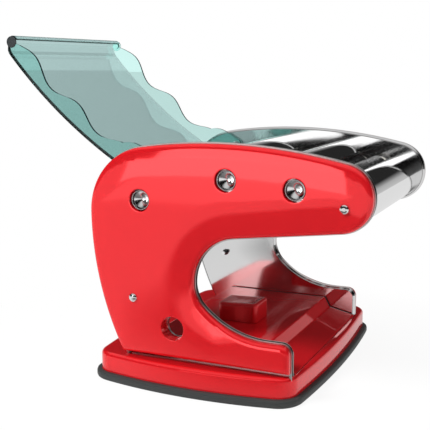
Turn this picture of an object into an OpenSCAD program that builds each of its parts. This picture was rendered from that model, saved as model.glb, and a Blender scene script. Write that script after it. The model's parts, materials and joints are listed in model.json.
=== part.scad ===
// Hand pasta machine with a C-shaped frame.
// Lengths are in millimetres. +X is the open front, -Y the crank side, +Z is up.
// The machine stands on z = 0. The origin lies midway between the two plates.

/* [Frame] */
// clear width between the two steel side plates
clear_width = 165; // [163:1:167]
// thickness of a steel side plate
plate_thick = 2; // [1.8:0.1:2.2]
// depth of the moulded cover on each side
cover_depth = 10; // [9.5:0.5:11]
// how deep the rim of a plate is turned outwards
rim_depth = 3; // [2.6:0.1:3.4]
// how far the steel rim shows round a cover
cover_inset = 0.8; // [0.6:0.1:1.2]
// wall of a moulded cover
cover_wall = 2.2; // [2:0.1:2.3]
// edge rounding of a cover
cover_round = 3.8; // [3:0.2:4.4]
// height of the lower edge of a cover
cover_foot = 26; // [25:0.5:27]
// height where a plate ends inside the base
plate_foot = 12; // [11:0.5:14]

/* [Side outline] */
// rearmost point of a side plate
rear_x = -86.6; // [-87:0.1:-86]
// height of the rearmost point
rear_z = 132.7; // [132:0.1:133.5]
// radius of the rear edge under that point
rear_radius = 236; // [230:1:240]
// radius of the rear shoulder over it
shoulder_radius = 51.3; // [50.5:0.1:52]
// radius of the long top edge
top_radius = 424; // [415:3:436]
// centre of the rounded nose, forward
nose_x = 108.8; // [108.2:0.1:109.4]
// centre of the rounded nose, height
nose_z = 153.4; // [153:0.1:154]
// radius of the nose
nose_radius = 24.8; // [24.3:0.1:25.2]
// rearmost point of the C opening
mouth_x = 0.6; // [0:0.1:1.2]
// height of that point
mouth_z = 83.6; // [83:0.1:84.2]
// radius of the upper half of the C opening
mouth_top_radius = 35.6; // [35.2:0.1:36]
// radius of the tight bend of the C opening
mouth_low_radius = 24.3; // [23.8:0.1:24.8]
// radius of the slope down to the foot
foot_slope_radius = 70; // [69:0.5:72]
// top of the foot
foot_top = 46; // [45.4:0.1:46.6]
// front of the foot
foot_front = 76.8; // [76:0.2:77.4]
// front corner of the foot
foot_round = 8.4; // [7.8:0.2:9.2]

/* [Base] */
// middle of the base, forward and to the far side
base_middle = [-2.4, 11.7];
// half length of the rubber skirt
skirt_half_x = 89.8; // [89.2:0.1:90.4]
// half width of the rubber skirt
skirt_half_y = 117.6; // [117:0.1:118.4]
// bow of the skirt's front and rear
bow_front = 1000; // [900:10:1100]
// bow of the skirt's sides
bow_side = 342; // [330:2:354]
// corner radius of the skirt
skirt_corner = 20.5; // [19:0.5:22]
// height of the skirt
skirt_height = 6.3; // [6:0.1:7]
// how far the skirt stands out round the base
skirt_reach = 4; // [3.5:0.1:4.5]
// height of the base's rim
base_top = 21.5; // [21:0.1:22]
// edge rounding of the base
base_round = 3; // [2.5:0.1:3.5]
// wall of the base moulding
base_wall = 3.4; // [3:0.1:4]
// height of the raised floor between the plates
floor_top = 36.4; // [35.5:0.1:37]
// rear end of the raised floor
floor_rear = -42; // [-44:0.5:-40]
// front end of the raised floor
floor_front = 50; // [49:0.5:51]
// foot of the ramp in front of the raised floor
ramp_foot = 54.7; // [54:0.1:56]
// height of the apron at the ramp
apron_rear = 27.5; // [26.5:0.1:28.5]
// height of the apron at its front end
apron_front = 22.6; // [22.2:0.1:23]

/* [Suction foot] */
// middle of the grip block, forward
grip_x = 6.8; // [5:0.5:8]
// middle of the grip block, sideways
grip_y = -8.5; // [-10:0.5:-7]
// length of the grip block
grip_long = 33.5; // [32:0.5:35]
// width of the grip block
grip_wide = 28; // [26:0.5:29]
// height of the grip block
grip_high = 15.6; // [14:0.2:17]
// upright corners of the grip block
grip_corner = 4; // [3:0.5:5]
// radius of the hollow in its top
grip_hollow = 90; // [80:2:120]
// radius of the suction pad
pad_radius = 56; // [52:1:60]
// lift of the suction pad
pad_lift = 3; // [2.5:0.1:3.2]
// top of the pad's plate under the stem
pad_seat = 5.4; // [5.2:0.1:5.6]
// radius of the collar on the stem
stem_collar = 7; // [6.5:0.1:7.5]

/* [Rollers] */
// drive axis of the smooth pair, forward and up
smooth_axis = [-42, 143.5];
// drive axis of the wide cutters
wide_axis = [27.3, 161.8];
// drive axis of the fine cutters
fine_axis = [78.6, 157.8];
// radius of the smooth rollers
smooth_radius = 11.1; // [10.8:0.1:11.1]
// distance of the smooth axes at the thinnest setting
smooth_spacing = 22.6; // [22.6:0.1:22.8]
// how far the rear smooth roller moves away
gap_travel = 2; // [1.6:0.1:2.1]
// distance of the wide cutter axes
wide_spacing = 17.6; // [17.6:0.1:17.8]
// outer radius of the wide cutter rings
wide_ring = 9.5; // [9.3:0.05:9.5]
// core radius of the wide cutters
wide_core = 7.7; // [7.4:0.1:7.8]
// width of one wide ring
wide_width = 6.2; // [6:0.05:6.3]
// distance from ring to ring of a wide cutter
wide_pitch = 13; // [13:0.1:13]
// rings on the driven wide cutter
wide_count = 12; // [10:1:12]
// distance of the fine cutter axes
fine_spacing = 16.5; // [16.5:0.1:16.7]
// outer radius of the fine cutter rings
fine_ring = 9; // [8.8:0.05:9]
// core radius of the fine cutters
fine_core = 7.1; // [6.8:0.1:7.2]
// width of one fine ring
fine_width = 2.2; // [2:0.05:2.25]
// distance from ring to ring of a fine cutter
fine_pitch = 5; // [5:0.1:5]
// rings on the driven fine cutter
fine_count = 30; // [26:1:30]
// gap between the cutter rings and the back of a comb
comb_gap = 0.8; // [0.7:0.1:0.9]
// thickness of the back of a comb
comb_back = 2.6; // [2.4:0.1:2.8]
// radius of all roller shafts
shaft_radius = 4; // [3.8:0.05:4.05]
// gap between a roller's body and a plate
roller_gap = 4.5; // [4:0.1:4.5]
// thickness of the scraper blade
blade_thick = 1.5; // [1.4:0.1:1.8]
// length of the scraper blade
blade_long = 13; // [12:0.5:14]

/* [Gears] */
// teeth of a smooth roller gear
smooth_teeth = 16;
// teeth of a wide cutter gear
wide_teeth = 16;
// teeth of a fine cutter gear
fine_teeth = 15;
// width of a gear
gear_width = 5; // [4:0.25:5]
// pressure angle of the teeth
gear_angle = 20; // [20:0.5:22]
// play between two teeth
gear_play = 0.36; // [0.32:0.02:0.5]

/* [Crank sockets] */
// radius of the socket holes in the cover
socket_radius = 8.25; // [8:0.05:8.5]
// wall of the bright tube in a socket
socket_wall = 1.1; // [0.9:0.1:1.3]
// radius of the half-moon drive end
dog_radius = 6.5; // [6.2:0.1:6.6]
// height of the half-moon step
dog_step = 2.6; // [2:0.1:3]
// turn of the half-moon ridge
dog_turn = 50; // [0:5:180]
// position of the front cover screw
front_screw = [114.1, 147.4];
// position of the rear cover screw
rear_screw = [-48.5, 68.6];
// radius of a domed screw head
screw_head = 3.3; // [3:0.1:3.6]
// radius of the screw holes
screw_hole = 1.7; // [1.7:0.05:1.9]
// radius of the hollow posts for the cover screws
screw_post = 4.5; // [4.2:0.1:5]
// wall of the posts round the sockets
socket_post = 2.4; // [2.2:0.1:2.6]
// corner radius of a nut inside
nut_radius = 2.7; // [2.6:0.1:3.2]
// position of the lower hole
low_hole = [-15.6, 48];
// radius of the lower hole
low_hole_radius = 9.2; // [8.8:0.1:9.6]

/* [Bright hood] */
// thickness of the hood sheets
hood_thick = 2; // [1.8:0.1:2]
// centre of the rear hump
rear_hump = [6, 118.5];
// radius of the rear hump
rear_hump_radius = 60.5; // [60.5:0.1:61]
// rear end of the rear hump
rear_hump_back = -29; // [-29.5:0.1:-28.5]
// front end of the rear hump
rear_hump_front = 32; // [31.6:0.1:32.4]
// foot of the sheet behind the rear hump, outside
rear_hump_foot = [-34.9, 157];
// foot of the sheet behind the rear hump, inside
rear_hump_heel = [-33.2, 156.2];
// centre of the middle hump
mid_hump = [66, 150];
// radius of the middle hump
mid_hump_radius = 28; // [28:0.1:28.4]
// angle of the middle hump's rear end
mid_hump_back = 124.8; // [124:0.2:125.2]
// angle of the middle hump's front end
mid_hump_front = 50; // [49.5:0.5:51]
// centre of the front hump
front_hump = [109.2, 147.5];
// radius of the front hump
front_hump_radius = 17.5; // [17.5:0.1:17.9]
// angle of the front hump's rear end
front_hump_back = 108; // [107:0.5:109]
// length of the flat lip under the front hump
front_hump_lip = 9; // [8:0.5:10]

/* [Feed tray] */
// upper end of the tray floor
tray_top = [-163.5, 249.7];
// lower end of the tray floor
tray_end = [-60.4, 163.7];
// bend radius of the tray floor
tray_radius = 397; // [370:3:424]
// gap between a side wall of the tray and a plate
tray_gap = 1.2; // [1:0.1:1.5]
// thickness of the clear plastic
tray_thick = 2; // [1.8:0.1:2.2]
// mean height of the side walls
wall_height = 13; // [12:0.25:14]
// height of the waves in the side walls
wave_height = 3.9; // [3.1:0.2:4.3]
// length of one wave
wave_length = 55; // [53.5:0.5:56.5]
// way from the upper end to the first wave's crest
wave_start = 16; // [12:1:20]
// radius of the tight bend below the lip
bend_radius = 10; // [9:0.5:11]
// turn of that bend
bend_turn = 28; // [26:1:30]
// middle of the curled lip
lip_middle = [-162.2, 260.2];
// radius of the curled lip
lip_radius = 5; // [4.8:0.1:5.4]
// thickness of the plastic in the lip
lip_thick = 1.8; // [1.6:0.1:1.9]
// angle where the curl leaves the floor
lip_start = 195; // [190:1:200]
// angle where the curl ends, over the far side
lip_stop = 30; // [20:1:40]
// hinge eye of the tray
eye = [-37.4, 171];
// radius of the hinge eye
eye_radius = 5; // [4.6:0.1:5]
// radius of the hinge pin
pin_radius = 2; // [1.9:0.05:2.1]
// middle of the rounded cheek beside the eye
cheek = [-57.8, 163.5];
// radius of that cheek
cheek_radius = 21.5; // [21:0.1:22]

/* [Gap knob] */
// axis of the gap knob
knob_axis = [-53.6, 114];
// radius of the gap knob
knob_radius = 15; // [14:0.5:17]
// height of the gap knob
knob_high = 12; // [10:0.5:14]
// radius of the follower bar
bar_radius = 3; // [2.8:0.1:3]

/* [Fits] */
// radial play of a shaft in its bore
fit = 0.05; // [0.03:0.01:0.06]
// gap between curved faces of two bodies
clearance = 0.3; // [0.3:0.05:0.4]

/* [Hidden] */
$fn = 64;
half = clear_width / 2;
outer = half + plate_thick;
face = outer + cover_depth;
rim_end = outer + rim_depth;
roller_half = half - roller_gap;
tray_half = half - tray_gap;
ring_steps = 8;
wide_rear_axis = wide_axis;
wide_front_axis = wide_axis + [wide_spacing, 0];
fine_rear_axis = fine_axis;
fine_front_axis = fine_axis + [fine_spacing, 0];
smooth_front_axis = smooth_axis;
smooth_rear_axis = smooth_axis - [smooth_spacing, 0];
bar_axis = [smooth_rear_axis[0], knob_axis[1]];
bush_radius = shaft_radius + 2;
flange_radius = shaft_radius + 3.2;
flange_thick = 1.2;
gear_start = outer + 1;
gear_end = gear_start + gear_width;
cover_roof = face - cover_wall;
rod_radius = 3.2;
rivet_hole = 1.5;
thread_radius = screw_hole - fit;
screw_radius = screw_hole - 0.1;
rod_places = [front_screw, [-69, 158.5], [4.2, 140]];

// Points on an arc from angle a to angle b.
function arc(c, r, a, b, n) =
  [for (k = [0 : n]) let (t = a + (b - a) * k / n) [c[0] + r * cos(t), c[1] + r * sin(t)]];

// Direction from p to q in degrees, 0 to 360.
function heading(p, q) = let (t = atan2(q[1] - p[1], q[0] - p[0])) t < 0 ? t + 360 : t;

// Crossing of two circles that lies to the right of the way from c to d.
function crossing(c, r, d, s) =
  let (l = norm(d - c), a = (r * r - s * s + l * l) / (2 * l), h = sqrt(r * r - a * a), e = (d - c) / l)
  c + a * e + h * [e[1], -e[0]];

// Centres of the arcs that make the side outline.
rear_c = [rear_x + rear_radius, rear_z];
shoulder_c = [rear_x + shoulder_radius, rear_z];
nose_c = [nose_x, nose_z];
top_c = crossing(shoulder_c, top_radius - shoulder_radius, nose_c, top_radius - nose_radius);
mouth_top_c = [mouth_x + mouth_top_radius, mouth_z];
mouth_low_c = [mouth_x + mouth_low_radius, mouth_z];
slope_c = [
  mouth_low_c[0] + sqrt(pow(foot_slope_radius - mouth_low_radius, 2)
    - pow(foot_top + foot_slope_radius - mouth_z, 2)),
  foot_top + foot_slope_radius
];
foot_c = [foot_front - foot_round, foot_top - foot_round];
// tilt of the straight underside of the arm
arm_span = nose_c - mouth_top_c;
arm_tilt = acos((mouth_top_radius + nose_radius) / norm(arm_span)) - atan2(arm_span[0], arm_span[1]);

// Side outline moved inwards by i, cut off level at height b.
function side_ring(i, b) = concat(
  arc(rear_c, rear_radius - i, 180 + asin((rear_z - b) / (rear_radius - i)), 180, 10),
  arc(shoulder_c, shoulder_radius - i, 180 - 6, heading(top_c, shoulder_c), 13),
  arc(top_c, top_radius - i, heading(top_c, shoulder_c) - 1.6, heading(top_c, nose_c), 11),
  arc(nose_c, nose_radius - i, heading(top_c, nose_c) - 6, arm_tilt - 90, 26),
  arc(mouth_top_c, mouth_top_radius + i, 90 + arm_tilt, 180, 13),
  arc(mouth_low_c, mouth_low_radius + i, 180 + 6, heading(slope_c, mouth_low_c), 7),
  arc(slope_c, foot_slope_radius + i, heading(slope_c, mouth_low_c) + 4, 270, 11),
  arc(foot_c, foot_round - i, 90, 0, 9),
  [[foot_front - i, b]]
);

// One quarter of the base outline, moved inwards by i.
corner_in = crossing([0, skirt_half_y - bow_side], bow_side - skirt_corner,
  [skirt_half_x - bow_front, 0], bow_front - skirt_corner);
turn_front = atan2(corner_in[1], corner_in[0] - skirt_half_x + bow_front);
turn_side = atan2(corner_in[1] - skirt_half_y + bow_side, corner_in[0]);
function base_quarter(i) = concat(
  arc([skirt_half_x - bow_front, 0], bow_front - i, 0, turn_front, 4),
  arc(corner_in, skirt_corner - i, turn_front + 8, turn_side - 8, 8),
  arc([0, skirt_half_y - bow_side], bow_side - i, turn_side, 90, 7)
);
function flip_x(p) = [for (k = [len(p) - 1 : -1 : 0]) [-p[k][0], p[k][1]]];
function flip_y(p) = [for (k = [len(p) - 1 : -1 : 0]) [p[k][0], -p[k][1]]];
function tail(p) = [for (k = [1 : len(p) - 1]) p[k]];
function flip(p) = [for (k = [len(p) - 1 : -1 : 0]) p[k]];
function base_half(i) = let (q = base_quarter(i)) concat(q, tail(flip_x(q)));
function base_ring(i) = let (h = base_half(i), l = flip_y(h))
  [for (p = concat(h, [for (k = [1 : len(l) - 2]) l[k]])) p + base_middle];

// Triangles between points i to i_end and points j down to j_end of an outline.
function strip(p, i, i_end, j, j_end) =
  i == i_end && j == j_end ? [] :
  let (a = i < i_end ? norm(p[i + 1] - p[j]) : 1000, b = j > j_end ? norm(p[i] - p[j - 1]) : 1000)
  a <= b ? concat([[i, i + 1, j]], strip(p, i + 1, i_end, j, j_end))
    : concat([[i, j - 1, j]], strip(p, i, i_end, j - 1, j_end));

// Closed skin over rings that hold the same number of points, split after point h.
module skin(rings, h) {
  n = len(rings[0]);
  m = len(rings);
  cap = strip(rings[m - 1], 0, h, n - 1, h + 1);
  points = [for (r = rings) for (p = r) p];
  sides = [for (j = [0 : m - 2]) for (k = [0 : n - 1]) let (a = j * n + k, b = j * n + (k + 1) % n)
    each [[a, a + n, b], [b, a + n, b + n]]];
  floor_cap = [for (t = cap) t];
  roof_cap = [for (t = cap) [t[2], t[1], t[0]] + (m - 1) * [n, n, n]];
  polyhedron(points, concat(floor_cap, sides, roof_cap));
}
function at_y(ring, y) = [for (p = ring) [p[0], y, p[1]]];
function at_z(ring, z) = [for (p = ring) [p[0], p[1], z]];

// A flat shape in x and z, drawn out along y.
module along(y0, y1) {
  translate([0, y1, 0]) rotate([90, 0, 0]) linear_extrude(height = y1 - y0) children();
}
// A round bar or hole along y.
module bar(c, r, y0, y1) {
  along(y0, y1) translate(c) circle(r);
}
// A ring along y.
module tube(c, r, r_in, y0, y1) {
  along(y0, y1) translate(c) difference() {
    circle(r);
    circle(r_in);
  }
}
// Piece of a ring between two angles, less than half a turn.
module sector(r_in, r, a, b) {
  difference() {
    intersection() {
      circle(r);
      polygon([[0, 0], 3 * r * [cos(a), sin(a)], 3 * r * [cos((a + b) / 2), sin((a + b) / 2)],
        3 * r * [cos(b), sin(b)]]);
    }
    circle(r_in);
  }
}

// Base: moulded shell with a raised floor, ribs and slots for the plates.
module base() {
  i = skirt_reach;
  color("red") difference() {
    union() {
      skin([
        at_z(base_ring(i), skirt_height / 2),
        at_z(base_ring(i), base_top - base_round),
        at_z(base_ring(i + base_round * 0.08), base_top - base_round * 0.62),
        at_z(base_ring(i + base_round * 0.3), base_top - base_round * 0.3),
        at_z(base_ring(i + base_round * 0.62), base_top - base_round * 0.08),
        at_z(base_ring(i + base_round), base_top)
      ], len(base_ring(i)) / 2);
      along(-half, half) polygon([
        [floor_rear, base_top - 1], [floor_rear, floor_top], [floor_front, floor_top],
        [ramp_foot, apron_rear], [foot_front + 1, apron_front], [foot_front + 1, base_top - 1]
      ]);
    }
    difference() {
      union() {
        translate([0, 0, -1]) linear_extrude(height = base_top - base_wall + 1)
          polygon(base_ring(i + base_wall));
        along(-half + base_wall, half - base_wall) polygon([
          [floor_rear + base_wall, 0], [floor_rear + base_wall, floor_top - base_wall],
          [floor_front - 1, floor_top - base_wall], [floor_front - 1, 0]
        ]);
      }
      for (s = [-1, 1]) along(s * (half + plate_thick / 2) - 4, s * (half + plate_thick / 2) + 4)
        polygon([[-65, plate_foot - 3], [-65, base_top], [81, base_top], [81, plate_foot - 3]]);
      translate([grip_x, grip_y, floor_top - 16]) cylinder(r = 9, h = 16);
    }
    for (s = [-1, 1]) along(s > 0 ? half : -outer, s > 0 ? outer : -half) intersection() {
      polygon(side_ring(-0.2, plate_foot));
      translate([-90, 0]) square([200, base_top + 8]);
    }
    translate([grip_x, grip_y, 0]) cylinder(r = shaft_radius + fit, h = 60);
  }
}

// Rubber skirt that seals the base to the table.
module skirt() {
  h = skirt_height;
  color("dimgray") difference() {
    skin([
      at_z(base_ring(1.6), 0),
      at_z(base_ring(0.5), h * 0.12),
      at_z(base_ring(0), h * 0.32),
      at_z(base_ring(0), h * 0.7),
      at_z(base_ring(0.5), h * 0.9),
      at_z(base_ring(1.5), h)
    ], len(base_ring(0)) / 2);
    translate([0, 0, h / 2]) linear_extrude(height = h) polygon(base_ring(skirt_reach));
    translate([0, 0, -1]) linear_extrude(height = h) polygon(base_ring(skirt_reach + base_wall + 9));
  }
}

// Rubber pad under the base, pulled up by the stem.
module suction_pad() {
  color("dimgray") translate([grip_x, grip_y, 0]) rotate_extrude() polygon([
    [0, 2.4], [pad_radius - 14, 2.4], [pad_radius - 3, 0], [pad_radius, 0.4], [pad_radius - 12, 5],
    [14, 7], [11, 15], [shaft_radius + fit, 15], [shaft_radius + fit, pad_seat], [0, pad_seat]
  ]);
}

// Steel stem from the grip through the floor into the pad.
module stem() {
  color("silver") translate([grip_x, grip_y, 0]) union() {
    foot = pad_seat + pad_lift + 0.6;
    translate([0, 0, foot]) cylinder(r = shaft_radius, h = floor_top + 5 - foot);
    translate([0, 0, floor_top - 18]) cylinder(r = stem_collar, h = 2 - clearance / 2);
  }
}

// Grip block that turns the stem.
module grip() {
  a = grip_long / 2 - grip_corner;
  b = grip_wide / 2 - grip_corner;
  color("red") translate([grip_x, grip_y, 0]) difference() {
    translate([0, 0, floor_top + clearance]) linear_extrude(height = grip_high - clearance) union() {
      square([2 * a, grip_wide], center = true);
      square([grip_long, 2 * b], center = true);
      for (p = [[a, b], [-a, b], [-a, -b], [a, -b]]) translate(p) circle(grip_corner);
    }
    translate([-4, 0, floor_top + grip_high + grip_hollow - 1.6]) rotate([90, 0, 0])
      cylinder(r = grip_hollow, h = grip_wide + 2, center = true, $fn = 180);
    translate([0, 0, floor_top - 1]) cylinder(r = shaft_radius + fit, h = 6);
  }
}

// Holes that both side plates carry.
module plate_holes() {
  for (c = [smooth_front_axis, wide_rear_axis, wide_front_axis, fine_rear_axis, fine_front_axis])
    translate(c) circle(bush_radius);
  slide_hole(smooth_rear_axis, bush_radius);
  slide_hole(bar_axis, bar_radius);
  for (c = rod_places) translate(c) circle(screw_hole);
  translate(rear_screw) circle(screw_hole);
}
module slide_hole(c, r) {
  translate(c) circle(r + fit);
  translate(c - [gap_travel + fit, 0]) circle(r + fit);
  translate(c - [gap_travel + fit, r + fit]) square([gap_travel + fit, 2 * (r + fit)]);
}
module plate_rim() {
  difference() {
    polygon(side_ring(0, cover_foot));
    polygon(side_ring(plate_thick, cover_foot + plate_thick));
  }
}
module plate_near() {
  color("silver") union() {
    along(-outer, -half) difference() {
      polygon(side_ring(0, plate_foot));
      plate_holes();
      translate(low_hole) circle(low_hole_radius - 0.6);
      translate(eye) circle(rivet_hole);
    }
    along(-rim_end, -outer) plate_rim();
  }
}
module plate_far() {
  color("silver") union() {
    along(half, outer) difference() {
      polygon(side_ring(0, plate_foot));
      plate_holes();
      translate(knob_axis) circle(shaft_radius + fit);
      translate(eye) circle(rivet_hole);
    }
    along(outer, rim_end) plate_rim();
  }
}

// Hollow moulded cover with a rounded edge, drawn for the near side. Its lip sits in the plate's rim.
module cover_shell(boss_places, boss_radius, screw_places) {
  i = cover_inset;
  r = cover_round;
  difference() {
    skin([
      at_y(side_ring(i, cover_foot), -outer),
      at_y(side_ring(i, cover_foot), -face + r),
      at_y(side_ring(i + r * 0.1, cover_foot + r * 0.1), -face + r * 0.56),
      at_y(side_ring(i + r * 0.32, cover_foot + r * 0.32), -face + r * 0.26),
      at_y(side_ring(i + r * 0.64, cover_foot + r * 0.64), -face + r * 0.08),
      at_y(side_ring(i + r, cover_foot + r), -face)
    ], 63);
    along(-cover_roof, -outer + 1) difference() {
      polygon(side_ring(i + cover_wall, cover_foot + cover_wall));
      for (c = boss_places) translate(c) circle(boss_radius);
      for (c = screw_places) translate(c) circle(screw_post);
    }
    along(-rim_end, -outer + 1) difference() {
      polygon(side_ring(-2, cover_foot - 2));
      polygon(side_ring(plate_thick, cover_foot + plate_thick));
    }
    along(-face - 1, -outer + 2) for (c = screw_places) translate(c) circle(screw_hole);
  }
}
module cover_near() {
  sockets = [smooth_front_axis, wide_rear_axis, fine_rear_axis];
  color("red") difference() {
    cover_shell(concat(sockets, [low_hole]), socket_radius + socket_post, [front_screw, rear_screw]);
    along(-face - 1, -outer + 2) union() {
      for (c = sockets) translate(c) circle(socket_radius);
      translate(low_hole) circle(low_hole_radius);
    }
  }
}
module cover_far() {
  color("red") difference() {
    mirror([0, 1, 0]) cover_shell([], 1, [front_screw, rear_screw]);
    bar(knob_axis, shaft_radius + fit, outer - 2, face + 1);
  }
}

// Bright tubes that line the three crank sockets.
module socket_tubes() {
  color("silver") for (c = [smooth_front_axis, wide_rear_axis, fine_rear_axis])
    translate([c[0], 0, c[1]]) rotate([90, 0, 0]) rotate_extrude() polygon([
      [socket_radius - socket_wall - 0.3, outer], [socket_radius - fit, outer], [socket_radius - fit, face - 0.4],
      [socket_radius - socket_wall, face - 0.4], [socket_radius - socket_wall, face - 3.4],
      [socket_radius - socket_wall - 0.3, face - 3.4]
    ]);
}

// Domed screws that hold the covers.
module cover_screws() {
  color("silver") for (s = [-1, 1]) for (c = [front_screw, rear_screw])
    translate([c[0], s * face, c[1]]) rotate([-s * 90, 0, 0]) rotate_extrude() polygon([
      [0, -face + half - 6], [screw_radius, -face + half - 6], [screw_radius, 0], [screw_head, 0], [screw_head, 0.5],
      [screw_head * 0.92, 1], [screw_head * 0.72, 1.5], [screw_head * 0.4, 1.8], [0, 1.9]
    ]);
}
// Nuts on the rear cover screws, inside the plates.
module screw_nuts() {
  color("dimgray") for (s = [-1, 1]) along(s > 0 ? half - 2.2 : -half, s > 0 ? half : -half + 2.2)
    translate(rear_screw) difference() {
      polygon(arc([0, 0], nut_radius, 0, 300, 5));
      circle(thread_radius);
    }
}
// Rods that hold the two plates apart.
module tie_rods() {
  color("silver") for (c = rod_places) difference() {
    bar(c, rod_radius, -half, half);
    bar(c, thread_radius, -half - 1, -half + 12);
    bar(c, thread_radius, half - 12, half + 1);
  }
}
// Screws in the rods that the covers hide.
module rod_screws() {
  color("silver") for (s = [-1, 1]) for (c = [rod_places[1], rod_places[2]])
    translate([c[0], s * outer, c[1]]) rotate([-s * 90, 0, 0]) rotate_extrude() polygon([
      [0, -plate_thick - 9], [screw_radius, -plate_thick - 9], [screw_radius, 0], [2.8, 0], [2.8, 0.8], [0, 0.8]
    ]);
}

// Bright hood in three bent sheets with a slot in front of the first and the second.
module hood_rear() {
  r = rear_hump_radius;
  a = acos((rear_hump_back - rear_hump[0]) / r);
  b = acos((rear_hump_front - rear_hump[0]) / r);
  color("gainsboro") along(-half, half) polygon(concat(
    [rear_hump_foot], arc(rear_hump, r, a, b, 24), arc(rear_hump, r - hood_thick, b, a, 24), [rear_hump_heel]
  ));
}
module hood_middle() {
  r = mid_hump_radius;
  color("gainsboro") along(-half, half)
    polygon(concat(arc(mid_hump, r, mid_hump_back, mid_hump_front, 24),
      arc(mid_hump, r - hood_thick, mid_hump_front, mid_hump_back, 24)));
}
module hood_front() {
  r = front_hump_radius;
  x = front_hump[0] - front_hump_lip;
  z = front_hump[1] - r;
  color("gainsboro") along(-half, half) polygon(concat(
    arc(front_hump, r, front_hump_back, -90, 40), [[x, z], [x, z + hood_thick]],
    arc(front_hump, r - hood_thick, -90, front_hump_back, 40)
  ));
}

// Rollers: one turned profile each, body and shaft together.
module turned(c, y0, y1, body) {
  translate([c[0], 0, c[1]]) rotate([-90, 0, 0]) rotate_extrude() polygon(concat(
    [[0, y0], [shaft_radius, y0]], body, [[shaft_radius, y1], [0, y1]]
  ));
}
function plain_body(r, l) =
  [[shaft_radius, -l], [r - 1, -l], [r, -l + 1], [r, l - 1], [r - 1, l], [shaft_radius, l]];
function ringed_body(core, ring, width, pitch, count, l) = concat(
  [[shaft_radius, -l], [core, -l]],
  [for (k = [0 : count - 1]) let (y = (k - (count - 1) / 2) * pitch) each [
    [core, y - width / 2], [ring, y - width / 2], [ring, y + width / 2], [core, y + width / 2]]],
  [[core, l], [shaft_radius, l]]
);
module smooth_front() {
  color("silver") turned(smooth_front_axis, -outer - 2, gear_end, plain_body(smooth_radius, roller_half));
}
module smooth_rear() {
  color("silver") turned(smooth_rear_axis, -outer, gear_end, plain_body(smooth_radius, roller_half));
}
module wide_rear() {
  color("silver") turned(wide_rear_axis, -outer - 2, gear_end,
    ringed_body(wide_core, wide_ring, wide_width, wide_pitch, wide_count, roller_half));
}
module wide_front() {
  color("silver") turned(wide_front_axis, -outer, gear_end,
    ringed_body(wide_core, wide_ring, wide_width, wide_pitch, wide_count - 1, roller_half));
}
module fine_rear() {
  color("silver") turned(fine_rear_axis, -outer - 2, gear_end,
    ringed_body(fine_core, fine_ring, fine_width, fine_pitch, fine_count, roller_half));
}
module fine_front() {
  color("silver") turned(fine_front_axis, -outer, gear_end,
    ringed_body(fine_core, fine_ring, fine_width, fine_pitch, fine_count - 1, roller_half));
}

// Spur gear with involute flanks, thinned by the play.
function invol(rb, r) = let (t = sqrt(r * r / (rb * rb) - 1)) t * 180 / PI - atan(t);
function flank(rb, r, n, thick, rp) =
  thick / rp / 2 * 180 / PI + invol(rb, rp) - invol(rb, max(r, rb * 1.0005));
module spur(c, n, spacing, turn) {
  m = spacing / n;
  rp = spacing / 2;
  rb = rp * cos(gear_angle);
  tip = rp + 0.9 * m;
  root = rp - 1.2 * m;
  thick = PI * m / 2 - gear_play;
  radii = [root, (root + rp) / 2, rp, (rp + tip) / 2, tip];
  teeth = [for (k = [0 : n - 1]) let (mid = turn + 360 * k / n) each concat(
    [for (r = radii) let (w = flank(rb, r, n, thick, rp)) r * [cos(mid - w), sin(mid - w)]],
    [for (j = [4 : -1 : 0]) let (r = radii[j], w = flank(rb, r, n, thick, rp)) r * [cos(mid + w), sin(mid + w)]]
  )];
  color("goldenrod") along(gear_start, gear_end - 0.5) translate(c) difference() {
    polygon(teeth);
    circle(shaft_radius + fit);
  }
}
module smooth_front_gear() { spur(smooth_front_axis, smooth_teeth, smooth_spacing, 180); }
module smooth_rear_gear() { spur(smooth_rear_axis, smooth_teeth, smooth_spacing, 180 / smooth_teeth); }
module wide_rear_gear() { spur(wide_rear_axis, wide_teeth, wide_spacing, 0); }
module wide_front_gear() { spur(wide_front_axis, wide_teeth, wide_spacing, 180 + 180 / wide_teeth); }
module fine_rear_gear() { spur(fine_rear_axis, fine_teeth, fine_spacing, 0); }
module fine_front_gear() { spur(fine_front_axis, fine_teeth, fine_spacing, 180 + 180 / fine_teeth); }

// Half-moon drive ends, one on each driven shaft.
module dog(c) {
  color("silver") translate([c[0], 0, c[1]]) difference() {
    rotate([90, 0, 0]) translate([0, 0, outer + 0.5]) cylinder(r = dog_radius, h = cover_depth - 4);
    rotate([90, 0, 0]) translate([0, 0, outer]) cylinder(r = shaft_radius + fit, h = 2);
    rotate([0, -dog_turn, 0]) translate([-10, -face - 1, -20]) cube([20, 4.5 + dog_step, 20]);
  }
}
module smooth_dog() { dog(smooth_front_axis); }
module wide_dog() { dog(wide_rear_axis); }
module fine_dog() { dog(fine_rear_axis); }

// Flanged bearings in the plates.
module bushes(s) {
  color("goldenrod") for (c = [smooth_front_axis, wide_rear_axis, wide_front_axis, fine_rear_axis, fine_front_axis])
    translate([c[0], s * half, c[1]]) rotate([-s * 90, 0, 0]) rotate_extrude() polygon([
      [shaft_radius + fit, -flange_thick], [flange_radius, -flange_thick], [flange_radius, 0],
      [bush_radius - fit, 0], [bush_radius - fit, plate_thick], [shaft_radius + fit, plate_thick]
    ]);
}
module bushes_near() { bushes(-1); }
module bushes_far() { bushes(1); }

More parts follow.
